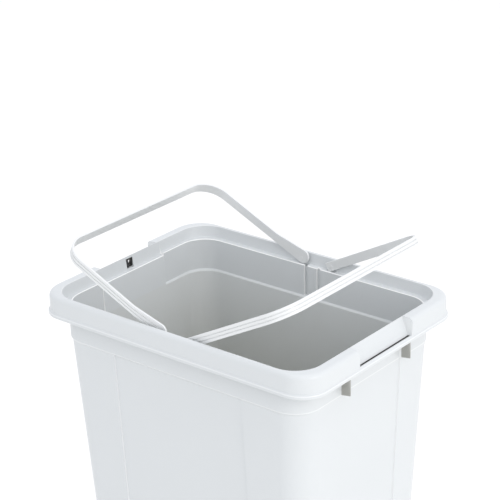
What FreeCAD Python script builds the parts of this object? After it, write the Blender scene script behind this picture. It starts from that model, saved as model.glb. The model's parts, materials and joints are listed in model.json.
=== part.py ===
import FreeCAD, Part
import math
import os

# Pedal pail: a tapered rectangular bin with a rolled rim, two bag frames that swing up from
# the middle of its long walls, and a pedal that lifts a push rod up the back of the bin.
# Millimetres, +Z up, origin on the floor under the middle of the bin.
# +X is the front, where the pedal is, -X the back, where the push rod runs.

# Overall
length = 416.0            # rim, front to back
width = 300.0             # rim, side to side
height = 560.0            # floor to the top of the rim
wall = 2.5                # every moulded wall
corner = 34.0             # corner radius of the rim, the bin and the base
taper = 0.05              # how far each wall leans in, per mm of depth

# Rim
rim_side = 8.5            # width of the rim's top along the long sides
rim_end = 16.0            # width of the rim's top along the short sides
rim_drop = 26.5           # depth of the outer skirt
rim_round = 6.0           # rounding between the top and the skirt
bead_proud = 1.6          # bead round the skirt's lower edge
bead_height = 3.5
ledge_depth = 14.5        # bag-frame ledge, below the rim's top
ledge_draft = 2.8         # lean of the wall above the ledge
ledge_step = 3.2          # the ledge is lower in the middle of the short sides
band_depth = 60.0         # lower edge of the stiffening band
band_chamfer = 7.0        # sloped lower edge of the band
band_side = 14.0          # band set in from the skirt, long sides
band_end = 21.5           # band set in from the skirt, short sides
band_proud = 2.6          # band proud of the corner columns
panel_recess = 1.4        # centre panels set back from the corner columns
panel_side = 196.0        # centre panel on each long side, width
panel_end = 115.0         # centre panel on each short side, width

# Hand and hinge recess in each short side of the rim
recess_width = 104.0
recess_bar = 6.0          # strip of skirt left under the recess
recess_slit = 3.0         # gap between the sloped face and that strip
gusset_space = 120.0      # between the two gussets under the recess
gusset_reach = 13.0
hinge_hole_width = 12.0   # hole in the rear rim wall that takes the lid's hook
hinge_hole_height = 13.0
hinge_hole_drop = 3.5     # below the rim's top

# Inside of the bin
floor_level = 74.0        # underside of the bin's floor, over the pedal gear
floor_radius_drop = 12.0  # sloped foot of the inner wall
skirt_bottom = 26.0       # lower edge of the bin's walls, inside the base ring

# Bag frames: flat strips on edge, bent to a U, hung on stub pins
frame_height = 12.0
frame_thick = 2.6
frame_gap = 0.9           # frame to the rim wall, when it lies flat
frame_rest = 0.4          # frame above the ledge, when it lies flat
frame_corner = 33.0
groove_depth = 0.5
groove_width = 1.0
rear_pivot = 19.0         # pivots to the middle of the bin, rear frame
front_pivot = 27.0        # and front frame
pivot_pin = 7.0
pin_past_wall = 1.0
running_gap = 0.05        # radial, pins and shafts in their holes
paddle_radius = 9.5       # round end of the rear frame's arms
paddle_lift = 3.2         # its centre above the pivot
paddle_length = 45.0      # where the arm has narrowed to the strip
front_arm_past = 6.5      # square end of the front frame's arms, past the pivot
rear_frame_angle = 24.5   # how far each frame stands up
front_frame_angle = 28.0
rib_width = 14.5          # upright rib between the two frames, on each long wall
rib_groove = 5.0          # grooves beside it
rib_groove_depth = 3.2

# Base ring, under the bin
base_height = 40.0
base_bottom = 5.0         # the base ring stands on rubber feet
base_gap = 0.3            # bin wall to base ring
base_flare = 5.0          # the base ring widens to the floor
foot_radius = 11.0
foot_height = 5.0
foot_peg = 3.0
screw_shank = 3.5
screw_head = 7.5
screw_head_height = 2.4

# Pedal lever, its axle and its pad
axle_diameter = 6.0
axle_x = 30.0
axle_z = 34.0
lever_thick = 3.0
lever_height = 14.0
lever_space = 60.0        # between the two lever plates
pedal_width = 92.0
pedal_length = 52.0
pedal_top = 36.0          # top of the pad above the floor
pedal_slot_side = 4.0     # gap beside the pad in the base ring
pedal_reach = 37.0        # pad past the base ring
pedal_travel = 7.0        # degrees, pad down
tread_rib = 1.5
clip_thick = 1.0
clip_radius = 6.0
bracket_thick = 4.0

# Push rod, up the back
rod_diameter = 5.0
rod_cover_width = 30.0
rod_cover_wall = 2.0
rod_stand = 11.0          # rod's centre line to the rear panel
rod_head_radius = 3.8
rod_head_length = 38.0
rod_top_gap = 6.5         # rod head below the rim's top
guide_height = 14.0
guide_count = 3
link_pin_diameter = 5.0

# Worked out
lean = math.degrees(math.atan(taper))
half_l = length / 2
half_w = width / 2
column_end = band_end + 0.4
column_side = band_side + band_proud
inner_end = column_end + wall
inner_side = column_side + wall
skirt_z = height - rim_drop
ledge_z = height - ledge_depth
band_z = height - band_depth
pivot_z = ledge_z + frame_rest + frame_height / 2


def moved(shape, x=0.0, y=0.0, z=0.0):
    out = shape.copy()
    out.translate(FreeCAD.Vector(x, y, z))
    return out


def turned(shape, degrees, centre, axis=(0, 1, 0)):
    out = shape.copy()
    out.rotate(FreeCAD.Vector(*centre), FreeCAD.Vector(*axis), degrees)
    return out


def box(x0, x1, y0, y1, z0, z1):
    return Part.makeBox(x1 - x0, y1 - y0, z1 - z0, FreeCAD.Vector(x0, y0, z0))


def rod(x, y, z, dx, dy, dz, radius):
    """A round bar from one point along a vector."""
    run = FreeCAD.Vector(dx, dy, dz)
    return Part.makeCylinder(radius, run.Length, FreeCAD.Vector(x, y, z), run)


def join(shapes):
    out = shapes[0].multiFuse(shapes[1:])
    return out.removeSplitter()


def rounded_wire(end, side, z, radius):
    """Rounded rectangle at a height: end and side are set in from the skirt."""
    a = half_l - end
    b = half_w - side
    r = min(radius, a - 1, b - 1)
    lift = FreeCAD.Vector
    bend = r * math.sqrt(0.5)
    edges = []
    for sx, sy in ((1, 1), (-1, 1), (-1, -1), (1, -1)):
        cx = sx * (a - r)
        cy = sy * (b - r)
        first = lift(cx + sx * r, cy, z)
        last = lift(cx, cy + sy * r, z)
        if sx * sy < 0:
            first, last = last, first
        middle = lift(cx + sx * bend, cy + sy * bend, z)
        edges.append(Part.Arc(first, middle, last).toShape())
    closed = []
    for i, edge in enumerate(edges):
        after = edges[(i + 1) % 4]
        closed.append(edge)
        p = edge.Vertexes[1].Point
        q = after.Vertexes[0].Point
        closed.append(Part.LineSegment(p, q).toShape())
    return Part.Wire(closed)


def block(sections):
    """Solid through rounded rectangles (end inset, side inset, height, radius)."""
    return Part.makeLoft([rounded_wire(*s) for s in sections], True, True)


def column_inset(z):
    """Outer face of the corner columns at a height, as (end inset, side inset)."""
    in_from_band = taper * (band_z - z)
    return column_end + in_from_band, column_side + in_from_band


def wall_x(z):
    """Outer face of the rear panel at a height, measured from the middle."""
    return half_l - column_inset(z)[0] - panel_recess


def rim_shell():
    """Rolled rim: top, rounded edge and hanging skirt, hollow from below."""
    rounding = []
    for step in range(5):
        angle = math.radians(90.0 * step / 4)
        inset = rim_round * (1 - math.cos(angle))
        inset += bead_proud
        rounding.append((inset, inset, height - 1.0 - rim_round * (1 - math.sin(angle)), corner))
    outer = block([(0, 0, skirt_z, corner), (0, 0, skirt_z + bead_height, corner),
                   (bead_proud, bead_proud, skirt_z + bead_height + 1.5, corner)] + rounding
                  + [(rim_end - 1.5, rim_side - 1.0, height, corner)])
    under = height - 1.0 - rim_round
    inside = wall + bead_proud
    hollow = block([(inside, inside, skirt_z - 1, corner - wall),
                    (inside, inside, under, corner - wall),
                    (inside + 3.5, inside + 3.5, height - wall - 1.0, corner - wall),
                    (rim_end - 1.5, rim_side - 1.0, height - wall - 0.5, corner)])
    return outer.cut(hollow)


def bin_core():
    """Outside of the wall under the rim, down to its lower edge."""
    low_end, low_side = column_inset(skirt_bottom)
    neck_end = rim_end + ledge_draft - wall
    neck_side = rim_side + ledge_draft - wall
    lip_end = rim_end - wall
    lip_side = rim_side - wall
    under_ledge = ledge_z - ledge_step - wall
    return block([
        (low_end, low_side, skirt_bottom, corner - 4),
        (column_end, column_side, band_z, corner),
        (column_end - 0.3, column_side - 0.5, band_z + 0.5, corner),
        (band_end, band_side, band_z + band_chamfer, corner),
        (band_end, band_side, under_ledge - 1.5, corner),
        (neck_end, neck_side, under_ledge, corner),
        (lip_end, lip_side, height, corner)])


def bin_cavity():
    """Inside of the bin, from its floor to the rim."""
    deep_end, deep_side = column_inset(floor_level)
    foot = floor_level + wall + floor_radius_drop
    thick = wall + panel_recess
    return block([
        (deep_end + thick + 8, deep_side + thick + 8, floor_level + wall, corner - 8),
        (deep_end + thick, deep_side + thick, foot, corner - 4),
        (inner_end + panel_recess + 0.5, inner_side + panel_recess + 0.5, band_z, corner - 1),
        (inner_end - 0.2, inner_side - 0.2, band_z + 2.0, corner - 1),
        (inner_end - 0.6, inner_side - 0.6, ledge_z - 0.8, corner - 1),
        (inner_end - 1.6, inner_side - 1.6, ledge_z, corner)])


def rim_mouth():
    """Opening above the bag-frame ledge."""
    return block([
        (rim_end + ledge_draft, rim_side + ledge_draft, ledge_z, corner),
        (rim_end, rim_side, height - 1.0, corner + 1),
        (rim_end - 0.8, rim_side - 0.8, height + 0.01, corner + 1)])


def panel_cut(side_panel):
    """Shallow set-back of a centre panel between the corner columns."""
    half = panel_side / 2 if side_panel else panel_end / 2
    low = skirt_bottom - 1
    tall = band_z - low
    slab = box(0, 40, -half, half, low, height)
    outer = half_w if side_panel else half_l
    inset = column_side if side_panel else column_end
    lower = outer - inset - taper * tall - panel_recess
    slab = moved(slab, lower)
    slab = turned(slab, lean, (lower, 0, low))
    # on the long sides the band stays whole, on the short sides the panel runs up under the rim
    top = band_z if side_panel else skirt_z + 2
    slab = slab.cut(box(0, length, -half - 1, half + 1, top, height))
    return turned(slab, 90, (0, 0, 0), (0, 0, 1)) if side_panel else slab


def panel_back(front):
    """Thickening behind a short side's panel, where the panel runs through the band."""
    half = panel_end / 2 + wall
    outer = half_l - column_end - panel_recess - 0.2
    piece = box(outer - wall, outer, -half, half, band_z, ledge_z - ledge_step + 2)
    piece = turned(piece, lean, (outer, 0, band_z))
    piece = piece.cut(box(0, half_l, -half - 1, half + 1, ledge_z - ledge_step, height))
    return piece if front else turned(piece, 180, (0, 0, 0), (0, 0, 1))


def ledge_cut(front):
    """Lower middle part of the ledge on a short side."""
    half = panel_end / 2 + wall
    reach = half_l - rim_end - ledge_draft
    piece = box(reach - 12, reach, -half, half, ledge_z - ledge_step, ledge_z + 1)
    return piece if front else turned(piece, 180, (0, 0, 0), (0, 0, 1))


def recess_shape(front):
    """Space cut from one short side of the rim for the hand and the lid's hinge."""
    half = recess_width / 2
    inner = half_l - rim_end + 1.0
    bar_top = skirt_z + recess_bar
    outline = [(inner, height + 1), (half_l + 1, height + 1), (half_l + 1, bar_top),
               (half_l - bead_proud - wall - recess_slit, bar_top)]
    points = [FreeCAD.Vector(x, -half, z) for x, z in outline]
    face = Part.Face(Part.makePolygon(points + points[:1]))
    cut = face.extrude(FreeCAD.Vector(0, 2 * half, 0))
    return cut if front else turned(cut, 180, (0, 0, 0), (0, 0, 1))


def recess_face(front):
    """Sloped wall and end walls that close the recess against the rim's hollow."""
    half = recess_width / 2
    inner = half_l - rim_end + 1.0
    bar_top = skirt_z + recess_bar
    foot_x = half_l - bead_proud - wall - recess_slit
    outline = [(inner, height - 0.2), (foot_x, bar_top), (foot_x, bar_top - 3.5),
               (inner - wall, height - 3.5)]
    points = [FreeCAD.Vector(x, -half - wall, z) for x, z in outline]
    slope = Part.Face(Part.makePolygon(points + points[:1]))
    slope = slope.extrude(FreeCAD.Vector(0, 2 * (half + wall), 0))
    ends = []
    for side in (-1, 1):
        y0 = side * half if side > 0 else -half - wall
        ends.append(box(inner - wall, half_l - bead_proud - 0.8, y0, y0 + wall, skirt_z, height - 2.5))
    walls = slope.multiFuse(ends)
    return walls if front else turned(walls, 180, (0, 0, 0), (0, 0, 1))


def gusset(front, side):
    """Plate that ties the rim's skirt zone to the band beside the recess."""
    y = side * gusset_space / 2
    root = half_l - band_end - 1.0
    tip = half_l - band_end + gusset_reach
    low = height - band_depth
    outline = [(root, low), (tip, low + 2.0), (tip, skirt_z + 2), (root, skirt_z + 2)]
    points = [FreeCAD.Vector(x, y - wall / 2, z) for x, z in outline]
    plate = Part.Face(Part.makePolygon(points + points[:1]))
    plate = plate.extrude(FreeCAD.Vector(0, wall, 0))
    return plate if front else turned(plate, 180, (0, 0, 0), (0, 0, 1))


def make_bin():
    body = rim_shell().fuse(bin_core())
    extras = []
    for front in (True, False):
        body = body.cut(recess_shape(front))
        extras.append(recess_face(front))
        for side in (-1, 1):
            extras.append(gusset(front, side))
    body = body.multiFuse(extras)
    for side_panel in (True, False):
        cut = panel_cut(side_panel)
        body = body.cut(cut).cut(turned(cut, 180, (0, 0, 0), (0, 0, 1)))
    body = body.cut(bin_cavity()).cut(rim_mouth())
    for front in (True, False):
        body = body.fuse(panel_back(front)).cut(ledge_cut(front))
    # space under the floor for the pedal gear
    low_end, low_side = column_inset(skirt_bottom)
    top_end, top_side = column_inset(floor_level)
    thick = wall + panel_recess
    under = block([(low_end + thick, low_side + thick, skirt_bottom - 1, corner - 6),
                   (top_end + thick, top_side + thick, floor_level, corner - 6)])
    body = body.cut(under)
    # grooves beside the middle rib, and the bag-frame pivot holes
    face_y = half_w - inner_side + 0.6
    edge = half_w - rim_side - ledge_draft
    for side in (-1, 1):
        for end in (-1, 1):
            x = end * (rib_width + rib_groove) / 2
            y0 = face_y - 6 if side > 0 else -face_y - rib_groove_depth
            body = body.cut(box(x - rib_groove / 2, x + rib_groove / 2, y0,
                                y0 + 6 + rib_groove_depth, band_z + 3, ledge_z + 0.1))
        # pockets in the ledge, under the ends of the frames' arms
        square_end = math.hypot(front_arm_past, frame_height / 2)
        pockets = [(-rear_pivot, paddle_radius), (-rear_pivot + paddle_lift, paddle_radius),
                   (front_pivot, square_end)]
        for x, reach in pockets:
            body = body.cut(rod(x, side * (edge - 9), pivot_z, 0, side * 9, 0, reach + 0.6))
        for x in (-rear_pivot, front_pivot):
            start = side * (half_w - 30)
            body = body.cut(rod(x, start, pivot_z, 0, side * 26, 0, pivot_pin / 2 + running_gap))
    # hole for the lid's hook, in the rear wall of the rim
    hole_top = height - hinge_hole_drop
    half_hole = hinge_hole_width / 2
    body = body.cut(box(-half_l + wall + 1.0, -half_l + rim_end + ledge_draft + 4, -half_hole,
                        half_hole, hole_top - hinge_hole_height, hole_top))
    # slots under the floor and in the front wall: pedal in front, lever tail at the back
    slot = pedal_width / 2 + pedal_slot_side
    body = body.cut(box(0.7 * half_l, half_l, -slot, slot, skirt_bottom - 1, base_height + 12))
    tail = rod_cover_width / 2 - 3
    body = body.cut(box(-half_l, -0.7 * half_l, -tail, tail, skirt_bottom - 1, tail_slot_top()))
    # slot in the rear recess that the rod's head comes up through
    head = rod_head_radius + 0.8
    body = body.cut(box(-half_l + bead_proud + wall + 1, -half_l + rim_end - 2.4, -head, head,
                        skirt_z - 2, height + 1))
    # pilot holes for the screws of the rod's cover
    pilots = [along_rod(rod(rod_stand - 3, y, z, 12, 0, 0, screw_shank / 2))
              for y, z in cover_screw_places()]
    body = body.cut(pilots)
    # pilot holes for the base screws
    for x, y in screw_places():
        post = rod(x, y, base_bottom + 9.0, 0, 0, floor_level - base_bottom - 8.0, 5.0)
        body = body.fuse(post)
        body = body.cut(rod(x, y, base_bottom, 0, 0, 30.0, screw_shank / 2))
    return body.removeSplitter()


def screw_places():
    end, side = column_inset(base_height)
    x = half_l - end - 30
    y = half_w - side - 22
    return [(sx * x, sy * y) for sx in (-1, 1) for sy in (-1, 1)]


def make_frame(front):
    """Bag frame lying flat, then swung up to where it stands."""
    gap_end = rim_end + ledge_draft + frame_gap
    gap_side = rim_side + ledge_draft + frame_gap
    low = ledge_z + frame_rest
    high = low + frame_height
    inner = (gap_end + frame_thick, gap_side + frame_thick)
    hoop = block([(gap_end, gap_side, low, frame_corner),
                  (gap_end, gap_side, high, frame_corner)])
    hoop = hoop.cut(block([inner + (low - 1, frame_corner - frame_thick),
                           inner + (high + 1, frame_corner - frame_thick)]))
    # two shallow grooves round the outside
    for share in (0.33, 0.67):
        z = low + share * frame_height - groove_width / 2
        ring = block([(gap_end - 1, gap_side - 1, z, frame_corner + 1),
                      (gap_end - 1, gap_side - 1, z + groove_width, frame_corner + 1)])
        core_end = gap_end + groove_depth
        core_side = gap_side + groove_depth
        core = block([(core_end, core_side, z - 1, frame_corner - groove_depth),
                      (core_end, core_side, z + groove_width + 1, frame_corner - groove_depth)])
        hoop = hoop.cut(ring.cut(core))
    pivot = front_pivot if front else rear_pivot
    past = front_arm_past if front else 0.0
    hoop = hoop.common(box(pivot - past, half_l, -half_w, half_w, low - 1, high + 1))
    parts = [hoop]
    arm_y = half_w - gap_side
    wall_y = half_w - rim_side - ledge_draft
    pin = wall_y + wall + pin_past_wall - arm_y + 0.5
    for side in (-1, 1):
        y0 = arm_y - frame_thick if side > 0 else -arm_y
        if not front:
            parts.append(paddle(pivot, y0))
        parts.append(rod(pivot, side * (arm_y - 0.5), pivot_z, 0, side * pin, 0, pivot_pin / 2))
    frame = join(parts)
    angle = front_frame_angle if front else rear_frame_angle
    frame = turned(frame, -angle, (pivot, 0, pivot_z))
    return frame if front else turned(frame, 180, (0, 0, 0), (0, 0, 1))


def paddle(pivot, y0):
    """Wide round end of the rear frame's arm, narrowing to the strip."""
    centre_z = pivot_z + paddle_lift
    half = frame_height / 2
    disc = rod(pivot, y0, centre_z, 0, frame_thick, 0, paddle_radius)
    outline = [(pivot, centre_z + paddle_radius), (pivot + paddle_length, pivot_z + half),
               (pivot + paddle_length, pivot_z - half), (pivot, pivot_z - half)]
    points = [FreeCAD.Vector(x, y0, z) for x, z in outline]
    web = Part.Face(Part.makePolygon(points + points[:1]))
    return disc.fuse(web.extrude(FreeCAD.Vector(0, frame_thick, 0)))


def base_inset(z, extra=0.0):
    end, side = column_inset(z)
    return end - base_gap - extra, side - base_gap - extra


def make_base():
    """Moulded ring round the foot of the bin, with a deck that carries the pedal gear."""
    end, side = base_inset(base_height)
    low_end, low_side = base_inset(base_height, base_flare)
    outer = block([(low_end - wall, low_side - wall, base_bottom, corner),
                   (end - wall, side - wall, base_height, corner)])
    deck = base_bottom + wall
    seat_end, seat_side = base_inset(skirt_bottom - base_gap)
    inside = block([(seat_end, seat_side, skirt_bottom - base_gap, corner - 4),
                    (end, side, base_height + 0.01, corner - 4)])
    ring = outer.cut(inside)
    step = block([(seat_end + wall + 2, seat_side + wall + 2, deck, corner - 6),
                  (seat_end + wall + 2, seat_side + wall + 2, skirt_bottom + 1, corner - 6)])
    ring = ring.cut(step)
    # opening in the deck under the lever, so that nothing can collect there
    ring = ring.cut(box(-half_l + 70, half_l - 75, -20, 20, 0, base_bottom + 10))
    slot = pedal_width / 2 + pedal_slot_side
    ring = ring.cut(box(0.6 * half_l, half_l + 10, -slot, slot, deck, base_height + 1))
    half = rod_cover_width / 2 - 3
    ring = ring.cut(box(-half_l - 10, -0.6 * half_l, -half, half, deck + 6, base_height + 1))
    extras = []
    cuts = []
    # brackets that hold the axle
    for side_y in (-1, 1):
        mid = side_y * bracket_mid()
        y0 = mid - bracket_thick / 2
        plate = box(axle_x - 14, axle_x + 14, y0, y0 + bracket_thick, base_bottom, axle_z)
        extras.append(plate)
        extras.append(rod(axle_x, y0, axle_z, 0, bracket_thick, 0, 9.0))
        cuts.append(rod(axle_x, y0 - 1, axle_z, 0, bracket_thick + 2, 0,
                        axle_diameter / 2 + running_gap))
    # screw bosses and foot sockets
    for x, y in screw_places():
        extras.append(rod(x, y, base_bottom, 0, 0, 8.7, 8.0))
        cuts.append(rod(x, y, 0, 0, 0, 20, screw_shank / 2 + 0.3))
        cuts.append(rod(x, y, 0, 0, 0, base_bottom + screw_head_height + 0.3,
                        screw_head / 2 + 0.3))
    for x, y in foot_places():
        cuts.append(rod(x, y, 0, 0, 0, base_bottom + wall + 1, foot_peg + 0.05))
    # rest for the lever's tail
    ring = ring.multiFuse(extras)
    for cut in cuts:
        ring = ring.cut(cut)
    return ring.removeSplitter()


def bracket_mid():
    return lever_space / 2 + lever_thick + 1.0 + bracket_thick / 2


def foot_places():
    return [(x * 0.78, y * 1.0) for x, y in screw_places()]


def make_feet():
    feet = []
    for x, y in foot_places():
        pad = Part.makeCone(foot_radius - 1.5, foot_radius, foot_height - 0.05)
        pad = pad.fuse(rod(0, 0, 0, 0, 0, foot_height + wall, foot_peg))
        feet.append(moved(pad.removeSplitter(), x, y))
    return Part.makeCompound(feet)


def screw(x, y, z, shank):
    """Pan-head screw pointing up, its head's underside at z."""
    head = rod(0, 0, -screw_head_height, 0, 0, screw_head_height, screw_head / 2)
    body = head.fuse(rod(0, 0, -0.1, 0, 0, shank, screw_shank / 2 - 0.05))
    for turn in (0, 90):
        bar = box(-2.2, 2.2, -0.5, 0.5, -screw_head_height - 1, -screw_head_height + 1.2)
        body = body.cut(turned(bar, turn, (0, 0, 0), (0, 0, 1)))
    return moved(body, x, y, z)


def make_base_screws():
    seat = base_bottom + screw_head_height + 0.3
    return Part.makeCompound([screw(x, y, seat, 18.0) for x, y in screw_places()])


def pad_front():
    end = base_inset(base_height, base_flare)[0]
    return half_l - end + wall + pedal_reach


def lever_tail_x():
    """Where the lever's tail meets the rod."""
    return -(wall_x(axle_z) + rod_stand)


def make_lever_plate(side):
    """Bent steel plate of the pedal lever: pad at the front, link slot at the back."""
    front = pad_front() - 12
    tail = lever_tail_x() - 8
    z0 = axle_z - lever_height / 2
    z1 = axle_z + lever_height / 2 - 3
    y0 = side * (lever_space / 2 + lever_thick / 2) - lever_thick / 2
    # the plate runs in to the middle behind the axle
    in_y = side * (link_half() + lever_thick / 2) - lever_thick / 2
    parts = [box(-90, front, y0, y0 + lever_thick, z0, z1),
             rod(axle_x, y0, axle_z, 0, lever_thick, 0, 9.0),
             box(-90, -90 + lever_thick, min(y0, in_y), max(y0, in_y) + lever_thick, z0, z1),
             box(tail, -90 + lever_thick, in_y, in_y + lever_thick, z0, z1)]
    plate = join(parts)
    plate = plate.cut(rod(axle_x, y0 - 5, axle_z, 0, 10, 0, axle_diameter / 2 + running_gap))
    # slot for the link pin, long enough for the lever's swing
    slot_half = link_pin_diameter / 2 + 0.5
    x = lever_tail_x()
    z = link_z()
    return plate.cut(box(x - 6, x + 6, in_y - 1, in_y + lever_thick + 1, z - slot_half,
                         z + slot_half))


def make_lever_bridge():
    """Flat bar welded between the two plates, under the pad."""
    front = pad_front() - 12
    top = axle_z + lever_height / 2 - 3
    return box(front - 30, front, -lever_space / 2, lever_space / 2, top - 3, top)


def link_half():
    return 5.0


def link_z():
    return axle_z - 1.5


def make_pedal_pad():
    """Moulded pad that covers the front of the lever."""
    front = pad_front()
    back = front - pedal_length
    half = pedal_width / 2
    top = pedal_top + 8
    pad = box(back, front, -half, half, top - 13, top)
    upright = [e for e in pad.Edges if abs(e.Vertexes[0].X - e.Vertexes[1].X) < 0.01
               and abs(e.Vertexes[0].Y - e.Vertexes[1].Y) < 0.01
               and e.Vertexes[0].X > front - 1]
    pad = pad.makeFillet(12.0, upright)
    rim = [e for e in pad.Edges if abs(e.BoundBox.ZMin - top) < 0.01
           and abs(e.BoundBox.ZMax - top) < 0.01]
    pad = pad.makeFillet(2.5, rim)
    inside = box(back - 1, front - wall, -half + wall, half - wall, top - 14, top - wall)
    shell = pad.cut(inside)
    # walls that slide over the lever's plates
    z_bar = axle_z + lever_height / 2 - 3 + 0.3
    ribs = []
    for side in (-1, 1):
        y = side * (lever_space / 2 - 8)
        ribs.append(box(back + 3, front - 2, y - 1, y + 1, z_bar, top - 1))
    shell = join([shell] + ribs)
    # shallow grooves that take the tread
    for k in range(tread_count()):
        x = tread_x(k)
        shell = shell.cut(box(x - 2.2, x + 2.2, -half + 10, half - 10, top - 1.0, top + 1))
    return shell


def tread_count():
    return 4


def tread_x(k):
    return pad_front() - 10 - 9.0 * k


def make_tread():
    """Soft ribs set in the pad, one solid each."""
    half = pedal_width / 2
    top = pedal_top + 8
    ribs = []
    for k in range(tread_count()):
        x = tread_x(k)
        rib = box(x - 2.2, x + 2.2, -half + 10, half - 10, top - 1.0, top + tread_rib)
        crown = [e for e in rib.Edges if e.BoundBox.ZMin > top + tread_rib - 0.01]
        ribs.append(rib.makeFillet(0.9, crown))
    return Part.makeCompound(ribs)


def make_axle():
    half = bracket_mid() + bracket_thick / 2 + 4
    axle = rod(axle_x, -half, axle_z, 0, 2 * half, 0, axle_diameter / 2)
    for side in (-1, 1):
        y = side * (half - 2.4)
        groove = rod(axle_x, y - clip_thick / 2 - 0.05, axle_z, 0, clip_thick + 0.1, 0, 8.0)
        groove = groove.cut(rod(axle_x, y - 2, axle_z, 0, 4, 0, axle_diameter / 2 - 0.7))
        axle = axle.cut(groove)
    return axle


def make_axle_clips():
    half = bracket_mid() + bracket_thick / 2 + 4
    clips = []
    for side in (-1, 1):
        y = side * (half - 2.4) - clip_thick / 2
        ring = rod(axle_x, y, axle_z, 0, clip_thick, 0, clip_radius)
        ring = ring.cut(rod(axle_x, y - 1, axle_z, 0, clip_thick + 2, 0, axle_diameter / 2 - 0.65))
        ring = ring.cut(box(axle_x - 1.8, axle_x + 1.8, y - 1, y + clip_thick + 1,
                            axle_z - clip_radius - 1, axle_z))
        clips.append(ring)
    return Part.makeCompound(clips)


def make_spacers():
    """Plain bushes that keep the lever in the middle of the axle."""
    out = []
    for side in (-1, 1):
        y0 = side * (lever_space / 2 - 12) if side > 0 else -lever_space / 2
        tube = rod(axle_x, y0, axle_z, 0, 12, 0, 5.5)
        out.append(tube.cut(rod(axle_x, y0 - 1, axle_z, 0, 14, 0, axle_diameter / 2 + 0.05)))
    return Part.makeCompound(out)


def along_rod(shape, offset=0.0):
    """Stand a shape made on the Z axis on the rod's line; its z is the height above the floor."""
    foot = lever_tail_x()
    out = turned(moved(shape, offset, 0, 0), -lean, (0, 0, link_z()))
    return moved(out, foot)


def rod_top():
    return height - rod_top_gap - 6


def make_rod():
    """Steel rod with a flattened eye at its foot."""
    z = link_z()
    bar = rod(0, 0, z + 8, 0, 0, rod_top() - z - 8, rod_diameter / 2)
    eye = box(-5.5, 5.5, -2.0, 2.0, z - 6, z + 14)
    ends = [e for e in eye.Edges if abs(e.BoundBox.YLength - 4) < 0.01]
    eye = eye.makeFillet(4.5, ends)
    eye = eye.fuse(bar)
    eye = eye.cut(rod(0, -5, z, 0, 10, 0, link_pin_diameter / 2 + running_gap))
    return along_rod(eye.removeSplitter())


def make_rod_head():
    """Moulded cap on top of the rod, which pushes the lid's lug."""
    top = rod_top() + 6
    cap = rod(0, 0, top - rod_head_length, 0, 0, rod_head_length, rod_head_radius)
    edge = [e for e in cap.Edges if e.BoundBox.ZMin > top - 0.01]
    cap = cap.makeFillet(1.5, edge)
    cap = cap.cut(rod(0, 0, top - rod_head_length - 1, 0, 0, rod_head_length - 5 + 0.05,
                      rod_diameter / 2 + 0.02))
    return along_rod(cap)


def make_link_pin():
    half = link_half() + lever_thick + 2.5
    pin = rod(0, -half, 0, 0, 2 * half, 0, link_pin_diameter / 2)
    head = rod(0, half - 1.5, 0, 0, 1.5, 0, 4.2)
    tail = rod(0, -half, 0, 0, 1.5, 0, 4.2)
    pin = join([pin, head, tail])
    return moved(pin, lever_tail_x(), 0, link_z())


def guide_levels():
    low = base_height + 70
    high = band_z - 40
    return [low + (high - low) * k / (guide_count - 1) for k in range(guide_count)]


def make_guides():
    """Guide blocks on the rear panel; the rod runs through them."""
    out = []
    half = rod_cover_width / 2 - rod_cover_wall - 0.5
    for z in guide_levels():
        piece = box(-5.0, rod_stand - 0.05, -half, half, z, z + guide_height)
        piece = piece.cut(rod(0, 0, z - 1, 0, 0, guide_height + 2, rod_diameter / 2 + 0.1))
        out.append(along_rod(piece))
    return Part.makeCompound(out)


def cover_span():
    return base_height + 34, band_z + 1


def make_rod_cover():
    """Channel with side flanges, screwed over the rod."""
    low, high = cover_span()
    half = rod_cover_width / 2
    skin = rod_cover_wall
    out_x = -8.0
    body = box(out_x, rod_stand - 0.05, -half, half, low, high)
    edges = [e for e in body.Edges if e.BoundBox.XMax < out_x + 0.01 and e.BoundBox.ZLength > 10]
    body = body.makeFillet(4.0, edges)
    body = body.cut(box(out_x + skin, rod_stand + 1, -half + skin, half - skin, low - 1, high + 1))
    flanges = []
    for side in (-1, 1):
        y0 = side * (half + 9) if side < 0 else half - skin
        flanges.append(box(rod_stand - skin - 0.05, rod_stand - 0.05, y0, y0 + 9 + skin, low, high))
    cover = join([body] + flanges)
    for y, z in cover_screw_places():
        cover = cover.cut(rod(-20, y, z, 60, 0, 0, screw_shank / 2 + 0.2))
    return along_rod(cover)


def tail_slot_top():
    rise = -(lever_tail_x() - axle_x) * math.tan(math.radians(pedal_travel))
    return axle_z + lever_height / 2 + rise + 1.0


def cover_screw_places():
    low, high = cover_span()
    y = rod_cover_width / 2 + 4.5
    levels = (low + 16, (low + high) / 2 + 8, high - 34)
    return [(side * y, z) for side in (-1, 1) for z in levels]


def make_cover_screws():
    out = []
    seat = rod_stand - rod_cover_wall - 0.05
    for y, z in cover_screw_places():
        one = turned(screw(0, 0, 0, rod_cover_wall + wall), 90, (0, 0, 0))
        out.append(along_rod(moved(one, seat, y, z)))
    return Part.makeCompound(out)


def make_bumpers():
    """Rubber stops on the deck, under the lever's tail."""
    x = lever_tail_x() + 40
    top = axle_z - lever_height / 2
    out = []
    for side in (-1, 1):
        y = side * (link_half() + lever_thick / 2)
        out.append(rod(x, y, base_bottom + wall, 0, 0, top - base_bottom - wall - 0.05, 3.0))
    return Part.makeCompound(out)


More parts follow.
